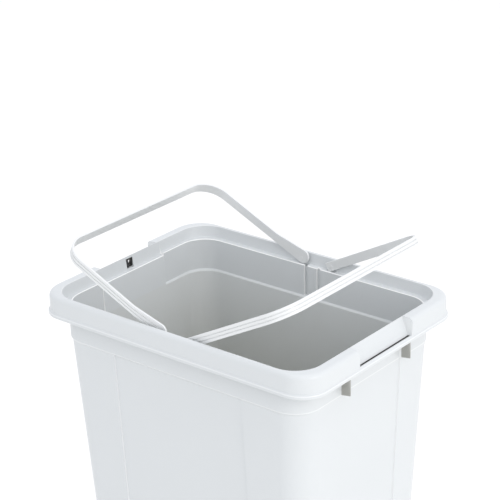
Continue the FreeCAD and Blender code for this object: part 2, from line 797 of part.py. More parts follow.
def build():
    return {
        "bin_body": make_bin(),
        "bag_frame_front": make_frame(True),
        "bag_frame_rear": make_frame(False),
        "base_ring": make_base(),
        "base_feet": make_feet(),
        "base_screws": make_base_screws(),
        "lever_plate_left": make_lever_plate(1),
        "lever_plate_right": make_lever_plate(-1),
        "lever_bridge": make_lever_bridge(),
        "pedal_pad": make_pedal_pad(),
        "pedal_tread": make_tread(),
        "pedal_axle": make_axle(),
        "axle_clips": make_axle_clips(),
        "axle_spacers": make_spacers(),
        "lever_bumpers": make_bumpers(),
        "push_rod": make_rod(),
        "push_rod_head": make_rod_head(),
        "link_pin": make_link_pin(),
        "rod_guides": make_guides(),
        "rod_cover": make_rod_cover(),
        "cover_screws": make_cover_screws(),
    }


def write(nodes):
    os.makedirs("parts", exist_ok=True)
    for name, shape in nodes.items():
        shape.exportStep("parts/" + name + ".step")
        print(name, len(shape.Solids), shape.isValid(), round(shape.Volume))


write(build())
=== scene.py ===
import json
import math

import bmesh
import bpy
import numpy as np
from mathutils import Matrix, Vector


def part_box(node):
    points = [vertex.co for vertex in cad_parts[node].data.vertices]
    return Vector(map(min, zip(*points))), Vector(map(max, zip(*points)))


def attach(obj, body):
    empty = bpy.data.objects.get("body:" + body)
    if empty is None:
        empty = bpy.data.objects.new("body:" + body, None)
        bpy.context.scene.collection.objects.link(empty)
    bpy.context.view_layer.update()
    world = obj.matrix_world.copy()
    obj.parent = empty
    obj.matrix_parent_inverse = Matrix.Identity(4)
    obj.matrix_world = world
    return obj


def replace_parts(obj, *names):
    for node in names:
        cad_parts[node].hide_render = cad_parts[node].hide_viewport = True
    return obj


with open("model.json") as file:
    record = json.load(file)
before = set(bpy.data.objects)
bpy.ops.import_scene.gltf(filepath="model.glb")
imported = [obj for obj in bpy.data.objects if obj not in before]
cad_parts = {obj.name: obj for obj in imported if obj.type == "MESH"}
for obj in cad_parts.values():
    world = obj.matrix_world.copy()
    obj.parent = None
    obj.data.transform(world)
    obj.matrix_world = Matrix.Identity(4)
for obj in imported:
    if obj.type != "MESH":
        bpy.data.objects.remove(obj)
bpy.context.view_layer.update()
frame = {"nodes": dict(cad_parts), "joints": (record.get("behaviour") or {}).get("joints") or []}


# ------------------------------------------------------------------ the bin
# The pail is one injection moulding in white polypropylene: a tapered box with rounded corners,
# a rolled rim with a hanging skirt, a stiffening band under it, and a hand recess at each end.

MM = 0.001                        # pieces are sized in millimetres, lights and camera in metres
half_length, half_width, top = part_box("bin_body")[1] / MM
corner = 34.0
taper = 0.05
wall = 2.5
skirt_foot = top - 28.2
band_foot = top - 61.5
inner_step = top - 58.5            # where the inside narrows below the ledge
ledge = top - 14.5
middle_ledge = ledge - 3.2
bin_foot = 26.0
floor_under = 74.0
floor_top = floor_under + wall
set_back = 1.4                    # centre panels behind the corner columns
panel_side, panel_end = 98.0, 57.5            # half widths of the panels
recess_half = 52.0
recess_under = recess_half + 2.6  # behind the skirt the recess is wider
bar_top = skirt_foot + 6.0        # of the bar across the recess's foot
rib_grooves = (7.25, 12.25)       # edges of the groove each side of the middle rib
groove_deep = 3.2


def outline(end, panel=False, recess=False, groove=False):
    """Section of the wall as rows of (inset from the skirt, height, corner radius, softening).
    It runs from under the floor down to the lower edge, up the outside, over the rim and down
    the inside to the floor. The walls lean in by the taper: inset = column + taper * depth."""
    column, band, neck, rim = (21.9, 21.5, 16.3, 16.0) if end else (16.6, 14.0, 8.8, 8.5)
    back = set_back if panel else 0.0
    thick = wall + set_back
    floor_in = column + taper * (band_foot - floor_under) + thick
    foot_out = column + taper * (band_foot - bin_foot)
    low_band = column + back - 0.35 if end and panel else band
    shelf = middle_ledge if end and panel else ledge
    shelf_edge = rim + (7.9 if end and panel else 7.6 if end else 9.8) - (groove_deep if groove else 0)
    inner = column + 2.3 + (1.9 if end and panel else 0) - (groove_deep if groove else 0)
    if recess:
        hollow = [(15.2, top - 6.5, corner, 0.3), (7.1, bar_top - 3.1, 33.0, 0.3),
                  (4.1, bar_top - 3.3, 31.5, 0.5)]
        roll = [(1.6, skirt_foot + 5.2, corner, 0.4), (2.2, bar_top, corner, 0.5),
                (4.2, bar_top, corner, 0.2), (7.1, bar_top, corner, 0.4),
                (rim, top, corner + 1, 0.8)]
    else:
        hollow = [(14.2 if end else 6.9, top - (5.0 if end else 6.0), corner, 0.3),
                  (7.6 if end else 6.2, top - (3.4 if end else 4.8), 33.0, 0.3),
                  (4.1, top - 8.0, 31.5, 1.0)]
        roll = [(1.6, skirt_foot + 5.2, corner, 0.8), (1.6, skirt_foot + 11.5, corner, 0.5),
                (1.6, skirt_foot + 16.5, corner, 0.5),
                (1.6, top - (0.4 if end else 0.2), corner, 6.0 if end else 5.7),
                (rim, top, corner + 1, 0.8)]
    return ([(floor_in + 20, floor_under, 20, 0), (floor_in, floor_under, 28, 0.5),
             (foot_out + thick, bin_foot, 28, 0.6), (foot_out + back, bin_foot, 30, 0.8),
             (column + back, band_foot, corner, 0.8), (low_band, band_foot + 3.2, corner, 1.0),
             (band, skirt_foot + 4, corner, 0.4), (neck, skirt_foot + 5.5, corner, 0.4)]
            + hollow
            + [(4.1, skirt_foot, 31.5, 0.5), (0, skirt_foot, corner, 0.9),
               (0, skirt_foot + 3.8, corner, 0.9)]
            + roll
            + [(rim + 2.8, shelf, corner, 0.5), (shelf_edge, shelf, 33.5, 1.0),
               (inner, inner_step + (3.6 if groove else 2.4), 33, 0.6),
               (column + thick + 0.5, inner_step, 32.5, 0.7),
               (floor_in, floor_top + 12, 30, 4.0), (floor_in + 8, floor_top, 26, 4.0),
               (floor_in + 20, floor_top, 20, 0)])


def softened(rows, steps):
    """Every corner of an outline becomes a quadratic Bezier curve that leaves the one side and joins
    the other at that corner's softening distance. The last column is 1 along the curve of a small
    outside corner, where a highlight is painted, and 0 elsewhere."""
    small_corner = 1.5
    rows = np.array(rows, float)
    points, soft = rows[:, :3], rows[:, 3]
    parts = [np.append(points[0], 0.0)[None]]
    for k in range(1, len(rows) - 1):
        back, on = points[k - 1] - points[k], points[k + 1] - points[k]
        start = points[k] + back * soft[k] / np.linalg.norm(back[:2])
        stop = points[k] + on * soft[k] / np.linalg.norm(on[:2])
        t = np.linspace(0, 1, steps[k])[:, None]
        curve = (1 - t) ** 2 * start + 2 * t * (1 - t) * points[k] + t ** 2 * stop
        outside = on[0] * back[1] - on[1] * back[0] < 0
        painted_light_and_shade = np.sign(t * (1 - t)) * (outside and soft[k] < small_corner)
        parts.append(np.column_stack([curve, painted_light_and_shade]))
    parts.append(np.append(points[-1], 0.0)[None])
    return np.concatenate(parts)


def inside(place, edge, half):
    """1 where place is below the edge and 0 above it, through a smooth step 2 * half wide."""
    t = np.clip((edge + half - place) / (2 * half), 0, 1)
    return (t * t * (3 - 2 * t))[:, None, None]


def stations(end, step, edges, half):
    """Places from 0 to end along a side: even ones, and five close together at each edge."""
    near = np.concatenate([edge + half * np.linspace(-1, 1, 5) for edge in edges])
    even = np.linspace(0, end, round(end / step) + 1)
    even = even[np.abs(even[:, None] - near[None, :]).min(1) > 2 * half]
    return np.unique(np.concatenate([even, near]))


def stretched(place, held, full, straight):
    """Places up to held stay put; the rest spread evenly to the end of each ring's straight side."""
    share = (place - held) / (full - held)
    return np.where(place[:, None] <= held, place[:, None],
                    held + share[:, None] * (straight[None, :] - held))


def whole(quarter):
    """A quarter of a ring of sections, with x and y positive, mirrored into the whole ring."""
    flip_x, flip_y = np.array([-1.0, 1.0, 1.0, 1.0]), np.array([1.0, -1.0, 1.0, 1.0])
    return np.concatenate([quarter, quarter[::-1][1:] * flip_x, quarter[1:] * flip_x * flip_y,
                           quarter[::-1][1:-1] * flip_y])


def step_wall_highlight(share, one, other):
    """Painted highlight: 1 on the small wall where one outline gives way to another, as far as the two
    differ.
    """
    gap = np.minimum(1, np.abs(one - other)[:, :2].max(1))
    return np.minimum(1, 8 * share[..., 0] * (1 - share[..., 0])) * gap


def bin_surface():
    """The bin's skin: at each station round a rounded rectangle, the outline of that place, which is a
    weighted mix of the outlines of column, panel, recess and groove. Its fourth coordinate is painted
    highlight, weaker outside than inside, and below 0 painted shade, light at the inside step and full
    at the foot of the inside wall and on the floor."""
    skirt_corner, shoulder, rim_edge = 11, 17, 18      # places in the outline's list of points
    spacing, corner_stations = 8.0, 17
    end_edge, recess_edge, side_edge, groove_edge = 0.35, 0.3, 0.3, 0.2     # half widths
    end_held, side_held = 66.0, 104.0                  # stations out to here stay put
    outside_highlight_share, painted_shade_at_step, painted_shade_on_floor = 0.3, -0.15, -1.0
    steps = [4] * len(outline(True))
    steps[shoulder] = 12
    past_rim = 1 + sum(steps[1:rim_edge + 1])
    floor_points = 1 + sum(steps[-3:-1])
    step_points = floor_points + steps[-4]
    plain_end, panel_in_end, recess_in_end, plain_side, panel_in_side, groove_in_side = (
        softened(rows, steps) for rows in (
            outline(True), outline(True, True), outline(True, True, True),
            outline(False), outline(False, True), outline(False, True, groove=True)))
    past_skirt = (np.arange(len(plain_end)) > 1 + sum(steps[1:skirt_corner]))[None, :, None]
    radius = plain_end[:, 2]
    straight_y = half_width - plain_side[:, 0] - radius
    straight_x = half_length - plain_end[:, 0] - radius

    y = stations(half_width - corner, spacing, (recess_half, recess_under, panel_end), end_edge)
    on_recess = np.where(past_skirt, inside(y, recess_half, recess_edge),
                         inside(y, recess_under, recess_edge))
    on_panel = inside(y, panel_end, end_edge)
    section = (plain_end + on_panel * (panel_in_end - plain_end)
               + on_recess * (recess_in_end - panel_in_end))
    # Painted highlights on the small outside corners and on the walls of the panel and recess steps.
    edges = section[..., 3] + step_wall_highlight(on_panel, panel_in_end, plain_end)
    edges += step_wall_highlight(on_recess, recess_in_end, panel_in_end)
    ends = np.stack([half_length - section[..., 0],
                     stretched(y, end_held, half_width - corner, straight_y), section[..., 1],
                     np.minimum(1, edges)], -1)

    angle = np.radians(np.linspace(0, 90, corner_stations)[1:-1])[:, None]
    blend = np.sin(angle) ** 2
    round_corner = np.stack([
        straight_x + radius * np.cos(angle), straight_y + radius * np.sin(angle),
        plain_end[:, 1] * (1 - blend) + plain_side[:, 1] * blend,
        plain_end[:, 3] + 0 * blend], -1)

    x = stations(half_length - corner, spacing, (panel_side,) + rib_grooves, side_edge)[::-1]
    on_groove = inside(x, rib_grooves[1], groove_edge) - inside(x, rib_grooves[0], groove_edge)
    on_panel = inside(x, panel_side, side_edge)
    section = (plain_side + on_panel * (panel_in_side - plain_side)
               + on_groove * (groove_in_side - panel_in_side))
    # Painted highlights on the small outside corners and on the walls of the panel step and the
    # grooves.
    edges = section[..., 3] + step_wall_highlight(on_panel, panel_in_side, plain_side)
    edges += step_wall_highlight(on_groove, groove_in_side, panel_in_side)
    sides = np.stack([stretched(x, side_held, half_length - corner, straight_x),
                      half_width - section[..., 0], section[..., 1], np.minimum(1, edges)], -1)
    quarter = np.concatenate([ends, round_corner, sides])
    # The painted highlight is weaker outside; shade is painted lightly at the inside step and fully at
    # the foot of the inside wall and on the floor.
    quarter[:, :past_rim, 3] *= outside_highlight_share
    quarter[:, -step_points:-floor_points, 3] = painted_shade_at_step
    quarter[:, -floor_points:, 3] = painted_shade_on_floor
    return whole(quarter)


def skin(points, ring=True):
    """Vertices and faces of a grid of sections. ring closes the first section on the last, and
    else the sections themselves are closed loops with a cap at either end."""
    n, k = points.shape[:2]
    i, j = np.meshgrid(np.arange(n if ring else n - 1), np.arange(k - 1 if ring else k),
                       indexing="ij")
    after, beside = (i + 1) % n, (j + 1) % k
    quads = np.stack([i * k + j, after * k + j, after * k + beside, i * k + beside], -1)
    if ring:
        caps = [list(range(0, n * k, k)), list(range(k - 1, n * k, k))]
    else:
        caps = [list(range(k)), list(range((n - 1) * k, n * k))]
    return points.reshape(n * k, -1), quads.reshape(-1, 4).tolist() + caps


def block(x, y, z):
    """A box from three (low, high) pairs."""
    loop = np.array([(x[0], y[0]), (x[1], y[0]), (x[1], y[1]), (x[0], y[1])], float)
    return skin(np.stack([np.column_stack([loop, np.full(4, h)]) for h in z]), ring=False)


def plate(points, direction):
    """A flat outline carried along a vector."""
    points = np.array(points, float)
    return skin(np.stack([points, points + direction]), ring=False)


def lathe(profile, centre, axis, turns=40):
    """A profile of (radius, place along the axis) turned round an axis through the centre."""
    profile = np.array(profile, float)
    angle = np.linspace(0, 2 * math.pi, turns, endpoint=False)
    first, second, along = np.roll(np.eye(3), 2 - "xyz".index(axis), axis=0)
    rings = (profile[:, None, :1] * np.cos(angle)[None, :, None] * first
             + profile[:, None, :1] * np.sin(angle)[None, :, None] * second
             + profile[:, None, 1:] * along + np.array(centre, float))
    return skin(rings, ring=False)


def solid(name, skins):
    """One object from closed skins, in metres, its doubles merged and its faces turned outwards. A
    fourth column of a skin's points is how strong a painted highlight is there, or below 0 how deep
    the painted shade is."""
    points, faces, count = [], [], 0
    for vertices, loops in skins:
        points.append(np.pad(vertices, ((0, 0), (0, 4 - vertices.shape[1]))))
        faces += [[count + v for v in loop] for loop in loops]
        count += len(vertices)
    points = np.concatenate(points)
    mesh = bpy.data.meshes.new(name)
    mesh.from_pydata((points[:, :3] * MM).tolist(), [], faces)
    painted_light_and_shade = mesh.attributes.new("painted_light_and_shade", "FLOAT", "POINT")
    painted_light_and_shade.data.foreach_set("value", points[:, 3].astype(np.float32))
    work = bmesh.new()
    work.from_mesh(mesh)
    bmesh.ops.remove_doubles(work, verts=work.verts, dist=1e-7)
    bmesh.ops.dissolve_degenerate(work, edges=work.edges, dist=1e-7)
    bmesh.ops.recalc_face_normals(work, faces=work.faces)
    work.to_mesh(mesh)
    work.free()
    piece = bpy.data.objects.new(name, mesh)
    bpy.context.scene.collection.objects.link(piece)
    return piece


def joined(piece, tools):
    """Adds (True) or cuts away (False) each tool in turn, and throws the tools away."""
    for tool, adds in tools:
        change = piece.modifiers.new("shape", "BOOLEAN")
        change.object = tool
        change.operation = "UNION" if adds else "DIFFERENCE"
        change.solver = "EXACT"
        change.material_mode = "TRANSFER" if tool.data.materials else "INDEX"
    graph = bpy.context.evaluated_depsgraph_get()
    piece.data = bpy.data.meshes.new_from_object(piece.evaluated_get(graph))
    piece.modifiers.clear()
    for tool, _ in tools:
        bpy.data.objects.remove(tool)
    return piece


def finished(piece, material, sharp=48.0):
    """Smooth shading over the soft corners, with flat faces kept flat."""
    if not piece.data.materials:
        piece.data.materials.append(material)
    piece.data.shade_smooth()
    piece.data.set_sharp_from_angle(angle=math.radians(sharp))
    even = piece.modifiers.new("even_normals", "WEIGHTED_NORMAL")
    even.keep_sharp = True
    return piece


class Value:
    """A shader socket in a sum: each operator adds the Math node that it stands for."""

    def __init__(self, finish, socket):
        self.finish, self.socket = finish, socket

    def maths(self, operation, *terms):
        """A Math node on the given terms."""
        return self.finish.node("ShaderNodeMath", {"operation": operation}, dict(enumerate(terms)))

    def __add__(self, other):
        return self.maths("ADD", self, other)

    def __sub__(self, other):
        return self.maths("SUBTRACT", self, other)

    def __rsub__(self, other):
        return self.maths("SUBTRACT", other, self)

    def __mul__(self, other):
        return self.maths("MULTIPLY", self, other)

    def __abs__(self):
        return self.maths("ABSOLUTE", self)

    __radd__, __rmul__ = __add__, __mul__


class Finish:
    """A material being made. node() adds any shader node and gives one of its outputs."""

    def __init__(self, name):
        self.material = bpy.data.materials.new(name)
        self.material.use_nodes = True
        self.tree = self.material.node_tree
        self.tree.nodes.clear()

    def node(self, kind, settings=None, inputs=None, output=0):
        """Adds a node, sets it up, feeds its sockets with values or links, and gives an output."""
        made = self.tree.nodes.new(kind)
        for key, value in (settings or {}).items():
            setattr(made, key, value)
        for key, value in (inputs or {}).items():
            if isinstance(value, Value):
                self.tree.links.new(value.socket, made.inputs[key])
            else:
                made.inputs[key].default_value = value
        return Value(self, made.outputs[output])

    def noise(self, place, scale, detail=2.0, rough=0.5):
        """Smooth noise between 0 and 1, with about scale grains to the metre."""
        return self.node("ShaderNodeTexNoise", None, {
            "Vector": place, "Scale": scale, "Detail": detail, "Roughness": rough})

    def shade(self, bumps, **sockets):
        """A Principled shader over a chain of bumps, each (height, distance in metres)."""
        normal = None
        for height, distance in bumps:
            sockets_in = {"Height": height, "Distance": distance, "Strength": 1.0}
            if normal:
                sockets_in["Normal"] = normal
            normal = self.node("ShaderNodeBump", None, sockets_in)
        named = {key.replace("_", " "): value for key, value in sockets.items()}
        surface = self.node("ShaderNodeBsdfPrincipled", None, {**named, "Normal": normal})
        end = self.tree.nodes.new("ShaderNodeOutputMaterial")
        self.tree.links.new(surface.socket, end.inputs["Surface"])
        return self.material


def rgb(tint, gain=1.0):
    """A tint made lighter or darker, as a shader colour."""
    return tuple(min(1.0, c * gain) for c in tint) + (1.0,)


def moulded(name, tint, grain, rough, scuffs=0.5):
    """Moulded polypropylene: a satin skin with the tool's fine spark grain, a slow waviness where the
    wall cooled, worn patches that are glossier, and hair-fine upright scuffs. A highlight is painted
    paler where the mesh's painted-light attribute is above 0, and shade is painted darker and warmer
    where that is below."""
    scuffed, painted_highlight = (0.55, 0.54, 0.52, 1.0), (0.96, 0.96, 0.95, 1.0)
    painted_shade_tint = (0.57, 0.555, 0.46, 1.0)
    f = Finish(name)
    place = f.node("ShaderNodeTexCoord", output="Object")
    drawn_out = f.node("ShaderNodeMapping", None, {"Vector": place, "Scale": (1.0, 1.0, 0.06)})
    slow, patch = f.noise(place, 7.0, 3.0), f.noise(place, 34.0, 4.0, 0.6)
    fine = f.noise(place, grain, 2.0, 0.6)
    hair = f.node("ShaderNodeMapRange", None, {
        "Value": abs(f.noise(drawn_out, 420.0, 1.0) - 0.5), "From Min": 0.0, "From Max": 0.012,
        "To Min": 1.0, "To Max": 0.0})
    worn = f.node("ShaderNodeMapRange", None, {
        "Value": patch, "From Min": 0.52, "From Max": 0.68, "To Min": 0.0, "To Max": 1.0})
    scuff = hair * worn * scuffs
    colour = f.node("ShaderNodeMix", {"data_type": "RGBA"}, {
        0: slow, 6: rgb(tint), 7: rgb(tint, 0.965)}, output=2)
    colour = f.node("ShaderNodeMix", {"data_type": "RGBA"}, {
        0: scuff * 0.12, 6: colour, 7: scuffed}, output=2)
    painted_light_and_shade = f.node("ShaderNodeAttribute", {"attribute_name": "painted_light_and_shade"}, output=2)
    edge = f.node("ShaderNodeMapRange", None, {"Value": painted_light_and_shade})
    painted_shade_amount = f.node("ShaderNodeMapRange", None, {
        "Value": painted_light_and_shade, "From Min": 0.0, "From Max": -1.0, "To Min": 0.0, "To Max": 0.75})
    # Painted highlight: a near-white mixed in where the attribute is above 0.
    colour = f.node("ShaderNodeMix", {"data_type": "RGBA"}, {
        0: edge * 0.95, 6: colour, 7: painted_highlight}, output=2)
    # Painted shade: a darker warm grey mixed in where the attribute is below 0, uneven in patches.
    colour = f.node("ShaderNodeMix", {"data_type": "RGBA"}, {
        0: painted_shade_amount * (0.8 + patch * 0.4), 6: colour, 7: painted_shade_tint}, output=2)
    roughness = rough + patch * 0.16 - worn * 0.06 + scuff * 0.12 - edge * 0.1
    return f.shade([(slow, 0.00035), (fine, 0.000025), (scuff, -0.00002)],
                   Base_Color=colour, Roughness=roughness, IOR=1.49)


# The slits, the rod's slot and the hook's pocket take a near-black material as painted shade, as
# hardly any light comes back out of them. The gussets are painted a darker grey as the shade under the
# skirt, and are rougher than the wall.
bin_white = moulded("bin_satin_white", (0.645, 0.67, 0.68), grain=1500.0, rough=0.3)
pocket_shade_paint = moulded("pocket_black_painted_shade", (0.07, 0.07, 0.067), grain=900.0, rough=0.6)
gusset_shade_paint = moulded("gusset_grey_painted_shade", (0.37, 0.37, 0.345), grain=900.0, rough=0.55)

gusset_y, gusset_thick = 60, 1.5
gusset_root, gusset_tip = half_length - 22.5, half_length - 9.5
gusset_heel, gusset_toe, gusset_top = band_foot + 3, band_foot + 5, skirt_foot + 2
slit_back, slit_front, slit_half = half_length - 7.0, half_length - 4.3, recess_half - 0.8
slit_low, slit_high = bar_top - 5, bar_top + 1.5
gussets, slits = [], []
for sx in (-1, 1):
    slits.append(block(sorted((sx * slit_back, sx * slit_front)), (-slit_half, slit_half),
                       (slit_low, slit_high)))
    for sy in (-1, 1):
        gusset_side = ((gusset_root, gusset_heel), (gusset_tip, gusset_toe),
                       (gusset_tip, gusset_top), (gusset_root, gusset_top))
        gussets.append(plate([(sx * x, sy * gusset_y - gusset_thick / 2, z) for x, z in gusset_side],
                             (0, gusset_thick, 0)))

# Notches in the ledge clear the ends of the frames' arms, and the pins turn in holes beside them.
frame_pivots = {j["child"]: np.array(j["pos_m"]) / MM for j in frame["joints"] if "pos_m" in j}
rear_pivot, front_pivot = frame_pivots["rear_frame"], frame_pivots["front_frame"]
lip_y = half_width - 11.3
notch_half = 2.2
rear_notch = (rear_pivot, 9.9, 3.2, 0.2)          # pivot, radius, and how far off it in x and z
front_notch = (front_pivot, 9.2, 0, 0)
notches = [lathe([(radius, -notch_half), (radius, notch_half)],
                 (pivot[0] + off_x, sy * (lip_y - notch_half), pivot[2] + off_z), "y", 64)
           for sy in (-1, 1) for pivot, radius, off_x, off_z in (rear_notch, front_notch)]
pin_hole_radius, pin_hole_half, pin_hole_y = 3.55, 12.5, 132.5
pin_holes = [lathe([(pin_hole_radius, -pin_hole_half), (pin_hole_radius, pin_hole_half)],
                   (pivot[0], sy * pin_hole_y, pivot[2]), "y", 32)
             for pivot in (rear_pivot, front_pivot) for sy in (-1, 1)]

# The lid's hook enters a hole in the rear rim wall, and the rod's cap rises through a slot there.
hole_top = top - 3.5
hook_hole_half, hook_hole_tall = 6, 13
hook_hole_near, hook_hole_far = 16.0, 22.8
hook_pocket_half = 14
pocket_low, pocket_high = hole_top - 16, hole_top + 0.2
hook_pocket_side = ((15.5, pocket_high), (8.6, pocket_low), (16.5, pocket_low), (16.5, pocket_high))
rod_slot_near, rod_slot_far, rod_slot_half = 5.1, 13.6, 4.6

# Below the floor the wall is cut away in front for the pedal and behind for the lever's tail.
opening_from, opening_foot = 145.6, bin_foot - 1
pedal_opening_half, pedal_opening_top = 50, 52.0
tail_opening_half, tail_opening_top = 12, 66.9

pail = solid("bin_shell", [skin(bin_surface())])
pail.data.materials.append(bin_white)
gusset_plates = solid("gussets", gussets)
# The gussets carry a darker grey copy of the white as painted shade under the skirt.
gusset_plates.data.materials.append(gusset_shade_paint)
dark_slits = solid("slits", slits)
hook_pocket = solid("hook_pocket", [plate(
    [(-half_length + inset, -hook_pocket_half, z) for inset, z in hook_pocket_side],
    (0, 2 * hook_pocket_half, 0))])
rod_slot = solid("rod_slot", [block((-half_length + rod_slot_near, -half_length + rod_slot_far),
                                    (-rod_slot_half, rod_slot_half), (skirt_foot - 2, top + 1))])
# The cut faces of the slits, the slot and the pocket carry the near-black painted shade.
for tool in (dark_slits, hook_pocket, rod_slot):
    tool.data.materials.append(pocket_shade_paint)
notches_and_openings = solid("notches_and_openings", notches + [
    block((opening_from, half_length), (-pedal_opening_half, pedal_opening_half),
          (opening_foot, pedal_opening_top)),
    block((-half_length, -opening_from), (-tail_opening_half, tail_opening_half),
          (opening_foot, tail_opening_top))])
hook_and_pin_holes = solid("hook_and_pin_holes", pin_holes + [
    block((-half_length + hook_hole_near, -half_length + hook_hole_far),
          (-hook_hole_half, hook_hole_half), (hole_top - hook_hole_tall, hole_top))])
joined(pail, [(gusset_plates, True), (dark_slits, False), (hook_pocket, False),
              (notches_and_openings, False), (hook_and_pin_holes, False), (rod_slot, False)])
finished(pail, bin_white)
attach(pail, "bin")
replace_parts(pail, "bin_body")


# ------------------------------------------------------------------ bag frames
# Two moulded strips bent to a U, hung on stub pins in the bin's long walls. They lie on the ledge
# over the bag and stand up when the bag is changed. The rear one ends in wide round paddles.

frame_half = 6.0
frame_thick = 2.6
frame_bend = 33.0
arm_y = half_width - 12.2          # outer face of the arms
loop_x = half_length - 19.7        # outer face of the cross piece
groove_at, groove_half, groove_depth = 2.04, 0.6, 1.0
strip_round = 0.55                 # rounding of the strip's long edges
paddle_round, paddle_lift, paddle_long = 9.5, 3.2, 45.0
# Along the arm, where the paddle's circle comes down to the strip's lower edge.
paddle_foot = math.sqrt(paddle_round ** 2 - (paddle_lift + frame_half) ** 2)
# The pin outside an arm and the button inside it, as (radius, place along the pin).
pin_profile = [(3.5, -0.5), (3.5, 4.0), (3.1, 4.4)]
button_profile = [(2.7, -0.6), (2.7, 0.2), (2.3, 0.4), (0.9, 0.5)]
front_arm_start = -6.5             # the front frame's arms run past its pivot to here


def strip_section():
    """Closed outline of the strip as (distance inwards from the outer face, height): a rectangle
    with rounded edges and two square grooves along the outer face."""
    edge = np.radians(np.linspace(0, 90, 5))
    r = strip_round
    low = np.column_stack([r - r * np.sin(edge), -frame_half + r - r * np.cos(edge)])
    groove = np.array([(0, -groove_half - 0.1), (0.1, -groove_half),
                       (groove_depth, -groove_half + 0.1), (groove_depth, groove_half - 0.1),
                       (0.1, groove_half), (0, groove_half + 0.1)])
    face = np.concatenate([low, groove + (0, -groove_at)])
    face = np.concatenate([face, face[::-1] * (1, -1)])
    inner = low[::-1] * (-1, 1) + (frame_thick, 0)
    return np.concatenate([face, low * (-1, -1) + (frame_thick, 0), inner])


def frame_strip(pivot, start, widening):
    """The section carried along a U: arm, quarter round, half of the cross piece, mirrored. Each
    station has its upper and lower edge, from the paddle's circle and its straight flank."""
    if widening:
        end = -paddle_round * np.cos(np.radians(np.linspace(4, 90, 19)))
        arm = np.concatenate([end, np.linspace(0, paddle_long, 13)[1:],
                              np.linspace(paddle_long, loop_x - frame_bend - pivot, 16)[1:]])
        circle = np.sqrt(np.maximum(paddle_round ** 2 - arm ** 2, 0))
        flank = frame_half + (paddle_lift + paddle_round - frame_half) * (1 - arm / paddle_long)
        upper = np.where(arm < 0, paddle_lift + circle, np.maximum(flank, frame_half))
        lower = np.where(arm < paddle_foot, paddle_lift - circle, -frame_half)
    else:
        arm = np.concatenate([[start, start + 0.12, start + 0.5],
                              np.linspace(start + 0.5, loop_x - frame_bend - pivot, 20)[1:]])
        upper = np.full(len(arm), frame_half)
        upper[:2] = frame_half - np.array([0.5, 0.15])
        lower = -upper
    bend = np.radians(np.linspace(90, 0, 17))[1:]
    across = np.linspace(arm_y - frame_bend, 0, 16)[1:]
    n_bend, n_across = len(bend), len(across)
    x = np.concatenate([pivot + arm, loop_x - frame_bend + frame_bend * np.cos(bend),
                        np.full(n_across, loop_x)])
    y = np.concatenate([np.full(len(arm), arm_y), arm_y - frame_bend + frame_bend * np.sin(bend),
                        across])
    nx = np.concatenate([np.zeros(len(arm)), -np.cos(bend), -np.ones(n_across)])
    ny = np.concatenate([-np.ones(len(arm)), -np.sin(bend), np.zeros(n_across)])
    pad = np.full(n_bend + n_across, frame_half)
    upper, lower = np.concatenate([upper, pad]), np.concatenate([lower, -pad])
    section = strip_section()
    t, h = section[None, :, 0], section[None, :, 1]
    half = np.stack([x[:, None] + t * nx[:, None], y[:, None] + t * ny[:, None],
                     ((upper + lower) / 2)[:, None] + h * ((upper - lower) / 2 / frame_half)[:, None]],
                    -1)
    return np.concatenate([half, half[::-1][1:] * (1, -1, 1)])


def bag_frame(name, joint, start, widening):
    """A frame lying flat on the ledge, then swung about its pins to where it stands at rest."""
    swing = next(j for j in frame["joints"] if j["name"] == joint)
    pivot = np.array(swing["pos_m"]) / MM
    facing = 1 if pivot[0] > 0 else -1
    rest = math.radians(-swing["range_deg"][0])
    reach = abs(pivot[0])
    skins = [skin(frame_strip(reach, start, widening), ring=False)]
    for sy in (-1, 1):
        skins.append(lathe(pin_profile, (reach, 0, 0), "y"))
        skins[-1] = (skins[-1][0] * (1, sy, 1) + (0, sy * arm_y, 0), skins[-1][1])
        skins.append(lathe(button_profile, (reach, 0, 0), "y"))
        skins[-1] = (skins[-1][0] * (1, -sy, 1) + (0, sy * (arm_y - frame_thick), 0), skins[-1][1])
    turned = []
    for points, faces in skins:
        dx, dz = points[:, 0] - reach, points[:, 2]
        x = reach + dx * math.cos(rest) - dz * math.sin(rest)
        z = pivot[2] + dx * math.sin(rest) + dz * math.cos(rest)
        turned.append((np.column_stack([facing * x, points[:, 1], z]), faces))
    piece = solid(name, turned)
    finished(piece, frame_white)
    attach(piece, swing["child"])
    return piece


frame_white = moulded("frame_satin_white", (0.755, 0.77, 0.77), grain=2200.0, rough=0.24,
                      scuffs=0.8)
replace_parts(bag_frame("front_bag_frame", "front_frame_swing", front_arm_start, False),
            "bag_frame_front")
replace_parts(bag_frame("rear_bag_frame", "rear_frame_swing", 0.0, True), "bag_frame_rear")


# ------------------------------------------------------------------ base ring
# A second white moulding that the bin sits in. It flares to the floor, carries the axle's brackets
# and the bosses for the screws, and is cut away in front for the pedal.

def refined(node, name, edge, material, body, segments=3):
    """A copy of a CAD piece as one skin: doubles merged, flat regions made whole, and each edge
    that turns by more than 38 degrees rounded over a width of `edge` mm in some segments."""
    mesh = frame["nodes"][node].data.copy()
    work = bmesh.new()
    work.from_mesh(mesh)
    bmesh.ops.remove_doubles(work, verts=work.verts, dist=2e-6)
    bmesh.ops.dissolve_limit(work, angle_limit=math.radians(0.5), verts=work.verts,
                             edges=work.edges)
    work.to_mesh(mesh)
    work.free()
    piece = bpy.data.objects.new(name, mesh)
    bpy.context.scene.collection.objects.link(piece)
    mesh.materials.clear()
    mesh.materials.append(material)
    mesh.shade_smooth()
    mesh.set_sharp_from_angle(angle=math.radians(30))
    rounded = piece.modifiers.new("soft_edges", "BEVEL")
    rounded.width = edge * MM
    rounded.segments = segments
    rounded.limit_method = "ANGLE"
    rounded.angle_limit = math.radians(38)
    rounded.harden_normals = True
    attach(piece, body)
    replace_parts(piece, node)
    return piece


